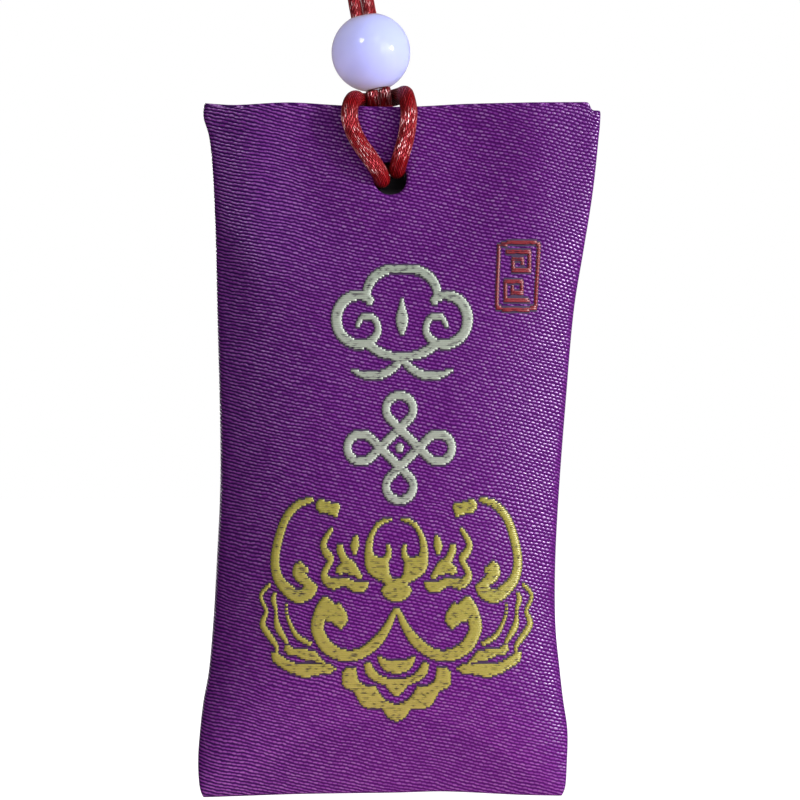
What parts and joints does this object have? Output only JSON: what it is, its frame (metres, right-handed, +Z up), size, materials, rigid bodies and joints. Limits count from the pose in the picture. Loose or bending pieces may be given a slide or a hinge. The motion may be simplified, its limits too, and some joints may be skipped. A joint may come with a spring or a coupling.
{
  "type": "amulet pouch",
  "caption": "Small padded satin amulet pouch hung by a doubled satin cord in a lark's head hitch, with a sliding bead and a knotted hanging loop.",
  "frame": {"origin": "middle of the peg or hook that the cord loop hangs on, just under the loop's knot", "axes": "+Z up along the hanging pouch, -Y out of the decorated front, +X to the right seen from the front"},
  "size_m": [0.0522, 0.012, 0.1641],
  "materials": {
    "satin": "purple jacquard satin with a fine broken weft rib",
    "interlining": "black non-woven interlining",
    "wadding": "white fibre wadding",
    "card": "plain yellow charm card",
    "thread": "purple sewing thread",
    "cord": "dark red satin cord with long fine ribs",
    "bead": "opaque cool white, polished"
  },
  "bodies": {
    "cord": {"hang_strand_left": "cord", "hang_strand_right": "cord", "barrel_knot": "cord", "cord_tail_left": "cord", "cord_tail_right": "cord"},
    "bead": {"bead": "bead"},
    "hitch": {"hitch_cord": "cord"},
    "pouch": {"front_panel": "satin", "back_panel": "satin", "front_interlining": "interlining", "back_interlining": "interlining", "front_wadding": "wadding", "back_wadding": "wadding", "amulet_card": "card", "seam_thread": "thread"}
  },
  "joints": [
    {"name": "bead_slide", "type": "slide", "parent": "cord", "child": "bead", "axis": [-0.1908, 0, 0.9816], "range_m": [0, 0.012]},
    {"name": "hitch_tilt", "type": "hinge", "parent": "cord", "child": "hitch", "pos_m": [0.00555, 0, -0.0521], "axis": [1, 0, 0], "range_deg": [-12, 12]},
    {"name": "pouch_swing", "type": "hinge", "parent": "hitch", "child": "pouch", "pos_m": [0.0072, -0.0016, -0.064], "axis": [0, 1, 0], "range_deg": [-10, 10]}
  ]
}
